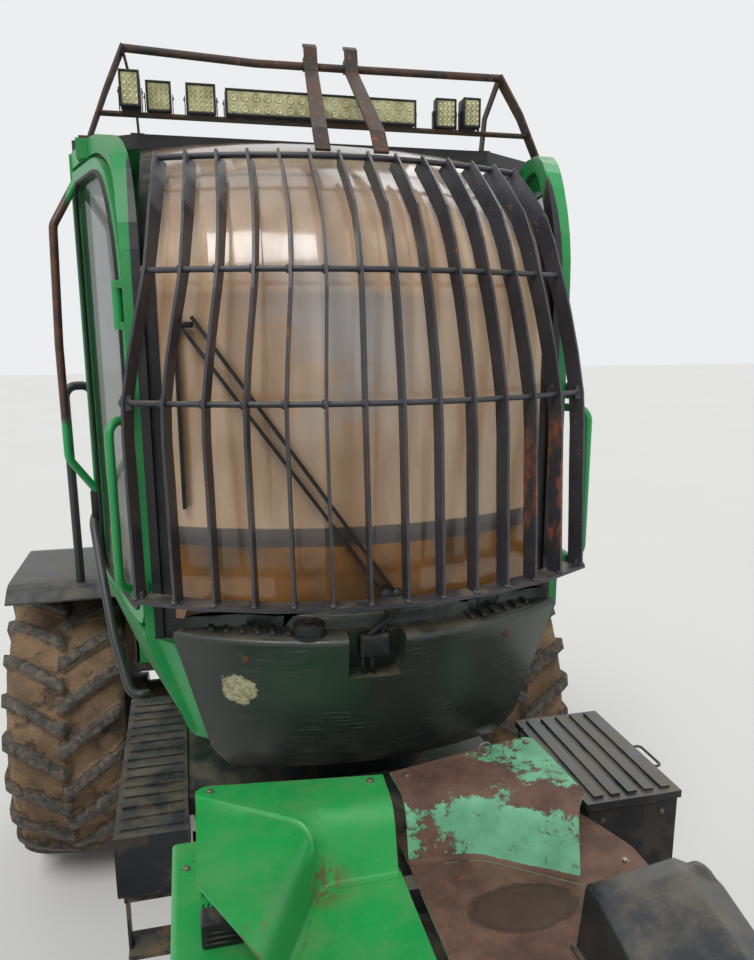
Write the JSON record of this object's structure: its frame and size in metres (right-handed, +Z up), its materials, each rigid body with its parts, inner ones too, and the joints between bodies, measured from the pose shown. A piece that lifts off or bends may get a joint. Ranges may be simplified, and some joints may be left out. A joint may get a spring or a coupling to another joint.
{
  "type": "forestry harvester",
  "caption": "Wheeled forestry harvester with a guarded turning cab, folding crane, felling head, articulated frame and tipping hood",
  "frame": {"origin": "on the ground under the middle of the machine's length and width", "axes": "+Z up, the machine faces -Y, +X is its left side"},
  "size_m": [3.14, 9.378, 4.3249],
  "materials": {
    "green_paint": "semi-gloss",
    "faded_mint": "matt, worn",
    "frame_black": "satin",
    "guard_black": "satin, chipped",
    "tank_green": "gloss, dirty",
    "rack_rust": "rusty",
    "rim_green": "semi-gloss, muddy",
    "rod_chrome": "polished",
    "tyre_rubber": "muddy",
    "tinted_screen": "tinted, sun-worn",
    "clear_glass": "clear",
    "lamp_glass": "ribbed",
    "rubber_black": "matt",
    "seat_fabric": "woven",
    "cab_trim": "matt",
    "worn_steel": "worn"
  },
  "bodies": {
    "front_frame": {"front_frame": "frame_black", "front_axle": "frame_black", "bogie_beams": "frame_black", "deck_cover_right": "green_paint", "deck_cover_left": "faded_mint", "step_platform": "frame_black", "side_box": "frame_black", "valve_cover": "frame_black", "deck_lamp": "lamp_glass"},
    "side_lid": {"side_box_lid": "frame_black"},
    "rear_frame": {"rear_frame": "frame_black", "rear_axle": "frame_black", "rear_fenders": "frame_black", "engine": "frame_black"},
    "hood": {"hood": "green_paint"},
    "cab": {"cab_tub": "green_paint", "cab_frame": "green_paint", "cab_roof": "green_paint", "cab_glass": "clear_glass", "windscreen": "tinted_screen", "screen_frame": "rubber_black", "washer_tank": "tank_green", "front_guard": "guard_black", "light_rack": "rack_rust", "work_lamps": "lamp_glass", "wiper": "rubber_black", "seat_frame": "cab_trim", "seat_cushions": "seat_fabric"},
    "door": {"door": "green_paint", "door_glass": "clear_glass"},
    "crane_base": {"crane_pillar": "frame_black"},
    "boom": {"main_boom": "frame_black"},
    "lift_barrel": {"lift_barrel": "frame_black"},
    "lift_rod": {"lift_rod": "rod_chrome"},
    "jib": {"jib": "frame_black"},
    "jib_barrel": {"jib_barrel": "frame_black"},
    "jib_rod": {"jib_rod": "rod_chrome"},
    "extension": {"extension": "worn_steel"},
    "link": {"knuckle_link": "worn_steel"},
    "rotator": {"rotator_housing": "frame_black"},
    "yoke": {"rotator_yoke": "green_paint"},
    "head": {"head_body": "green_paint"},
    "arm_rear": {"head_arm_rear": "green_paint"},
    "arm_front": {"head_arm_front": "green_paint"},
    "wheel_bogie_front_left": {"tyre_bogie_front_left": "tyre_rubber", "rim_bogie_front_left": "rim_green"},
    "wheel_bogie_front_right": {"tyre_bogie_front_right": "tyre_rubber", "rim_bogie_front_right": "rim_green"},
    "wheel_bogie_rear_left": {"tyre_bogie_rear_left": "tyre_rubber", "rim_bogie_rear_left": "rim_green"},
    "wheel_bogie_rear_right": {"tyre_bogie_rear_right": "tyre_rubber", "rim_bogie_rear_right": "rim_green"},
    "wheel_rear_left": {"tyre_rear_left": "tyre_rubber", "rim_rear_left": "rim_green"},
    "wheel_rear_right": {"tyre_rear_right": "tyre_rubber", "rim_rear_right": "rim_green"},
    "steer_barrel_left": {"steer_barrel_left": "frame_black"},
    "steer_rod_left": {"steer_rod_left": "rod_chrome"},
    "steer_barrel_right": {"steer_barrel_right": "frame_black"},
    "steer_rod_right": {"steer_rod_right": "rod_chrome"}
  },
  "joints": [
    {"name": "spin_bogie_front_left", "type": "hinge", "parent": "front_frame", "child": "wheel_bogie_front_left", "pos_m": [1.215, -2.331, 0.66834], "axis": [1, 0, 0], "continuous": true},
    {"name": "spin_bogie_front_right", "type": "hinge", "parent": "front_frame", "child": "wheel_bogie_front_right", "pos_m": [-1.215, -2.331, 0.66834], "axis": [1, 0, 0], "continuous": true},
    {"name": "spin_bogie_rear_left", "type": "hinge", "parent": "front_frame", "child": "wheel_bogie_rear_left", "pos_m": [1.215, -0.831, 0.66834], "axis": [1, 0, 0], "continuous": true},
    {"name": "spin_bogie_rear_right", "type": "hinge", "parent": "front_frame", "child": "wheel_bogie_rear_right", "pos_m": [-1.215, -0.831, 0.66834], "axis": [1, 0, 0], "continuous": true},
    {"name": "spin_rear_left", "type": "hinge", "parent": "rear_frame", "child": "wheel_rear_left", "pos_m": [1.27, 3.019, 0.81957], "axis": [1, 0, 0], "continuous": true},
    {"name": "spin_rear_right", "type": "hinge", "parent": "rear_frame", "child": "wheel_rear_right", "pos_m": [-1.27, 3.019, 0.81957], "axis": [1, 0, 0], "continuous": true},
    {"name": "steer", "type": "hinge", "parent": "front_frame", "child": "rear_frame", "pos_m": [0, 1.469, 0.91], "axis": [0, 0, 1], "range_deg": [-40, 40]},
    {"name": "cab_turn", "type": "hinge", "parent": "front_frame", "child": "cab", "pos_m": [0, 1.469, 1.4], "axis": [0, 0, 1], "range_deg": [-80, 80]},
    {"name": "door_hinge", "type": "hinge", "parent": "cab", "child": "door", "pos_m": [-0.758, 0.911, 2.75], "axis": [0, 0, 1], "range_deg": [0, 75]},
    {"name": "hood_hinge", "type": "hinge", "parent": "rear_frame", "child": "hood", "pos_m": [0, 4.534, 1.252], "axis": [-1, 0, 0], "range_deg": [0, 50]},
    {"name": "lid_hinge", "type": "hinge", "parent": "front_frame", "child": "side_lid", "pos_m": [0.63, 0.66, 1.51], "axis": [0, -1, 0], "range_deg": [0, 60]},
    {"name": "slew", "type": "hinge", "parent": "front_frame", "child": "crane_base", "pos_m": [0, -1.581, 1.56], "axis": [0, 0, 1], "range_deg": [-110, 110]},
    {"name": "boom_lift", "type": "hinge", "parent": "crane_base", "child": "boom", "pos_m": [0, -1.631, 2.25], "axis": [-1, 0, 0], "range_deg": [-30, 35]},
    {"name": "lift_barrel_turn", "type": "hinge", "parent": "crane_base", "child": "lift_barrel", "pos_m": [0, -1.941, 1.64], "axis": [-1, 0, 0], "range_deg": [-22, 26]},
    {"name": "lift_stroke", "type": "slide", "parent": "lift_barrel", "child": "lift_rod", "axis": [0, -0.5509, 0.8346], "range_m": [-0.298, 0.348]},
    {"name": "jib_fold", "type": "hinge", "parent": "boom", "child": "jib", "pos_m": [0, -3.97715, 3.95458], "axis": [1, 0, 0], "range_deg": [-115, 12]},
    {"name": "jib_barrel_turn", "type": "hinge", "parent": "boom", "child": "jib_barrel", "pos_m": [0, -2.42324, 3.11607], "axis": [-1, 0, 0], "range_deg": [-2, 2]},
    {"name": "jib_stroke", "type": "slide", "parent": "jib_barrel", "child": "jib_rod", "axis": [0, -0.8247, 0.5655], "range_m": [-0.559, 0.06]},
    {"name": "extension_slide", "type": "slide", "parent": "jib", "child": "extension", "axis": [0, -0.1392, -0.9903], "range_m": [0, 1.7]},
    {"name": "link_swing", "type": "hinge", "parent": "extension", "child": "link", "pos_m": [0, -4.339, 1.37988], "axis": [-1, 0, 0], "range_deg": [-105, 35]},
    {"name": "link_side_swing", "type": "hinge", "parent": "link", "child": "rotator", "pos_m": [0, -4.339, 1.18988], "axis": [0, 1, 0], "range_deg": [-25, 25]},
    {"name": "rotator_turn", "type": "hinge", "parent": "rotator", "child": "yoke", "pos_m": [0, -4.339, 1.05488], "axis": [0, 0, 1], "continuous": true},
    {"name": "head_tilt", "type": "hinge", "parent": "yoke", "child": "head", "pos_m": [0, -4.339, 0.82988], "axis": [0, 1, 0], "range_deg": [0, 95]},
    {"name": "arm_front_turn", "type": "hinge", "parent": "head", "child": "arm_front", "pos_m": [0, -4.489, 0.53988], "axis": [-1, 0, 0], "range_deg": [-25, 35]},
    {"name": "arm_rear_turn", "type": "hinge", "parent": "head", "child": "arm_rear", "pos_m": [0, -4.189, 0.53988], "axis": [1, 0, 0], "range_deg": [-25, 35]},
    {"name": "steer_barrel_left_turn", "type": "hinge", "parent": "front_frame", "child": "steer_barrel_left", "pos_m": [0.45, 0.569, 0.94], "axis": [0, 0, 1], "range_deg": [-11, 11]},
    {"name": "steer_stroke_left", "type": "slide", "parent": "steer_barrel_left", "child": "steer_rod_left", "axis": [-0.024, 0.9997, 0], "range_m": [-0.291, 0.291]},
    {"name": "steer_barrel_right_turn", "type": "hinge", "parent": "front_frame", "child": "steer_barrel_right", "pos_m": [-0.45, 0.569, 0.94], "axis": [0, 0, 1], "range_deg": [-11, 11]},
    {"name": "steer_stroke_right", "type": "slide", "parent": "steer_barrel_right", "child": "steer_rod_right", "axis": [0.024, 0.9997, 0], "range_m": [-0.291, 0.291]}
  ],
  "couplings": [
    {"joint": "lift_barrel_turn", "follows": "boom_lift", "ratio": 0.7207},
    {"joint": "lift_stroke", "follows": "boom_lift", "m_per_rad": 0.56755},
    {"joint": "jib_barrel_turn", "follows": "jib_fold", "ratio": -0.0073},
    {"joint": "jib_stroke", "follows": "jib_fold", "m_per_rad": 0.27781},
    {"joint": "arm_rear_turn", "follows": "arm_front_turn", "ratio": 1},
    {"joint": "steer_barrel_left_turn", "follows": "steer", "ratio": 0.251},
    {"joint": "steer_stroke_left", "follows": "steer", "m_per_rad": 0.4147},
    {"joint": "steer_barrel_right_turn", "follows": "steer", "ratio": 0.251},
    {"joint": "steer_stroke_right", "follows": "steer", "m_per_rad": -0.4147}
  ]
}
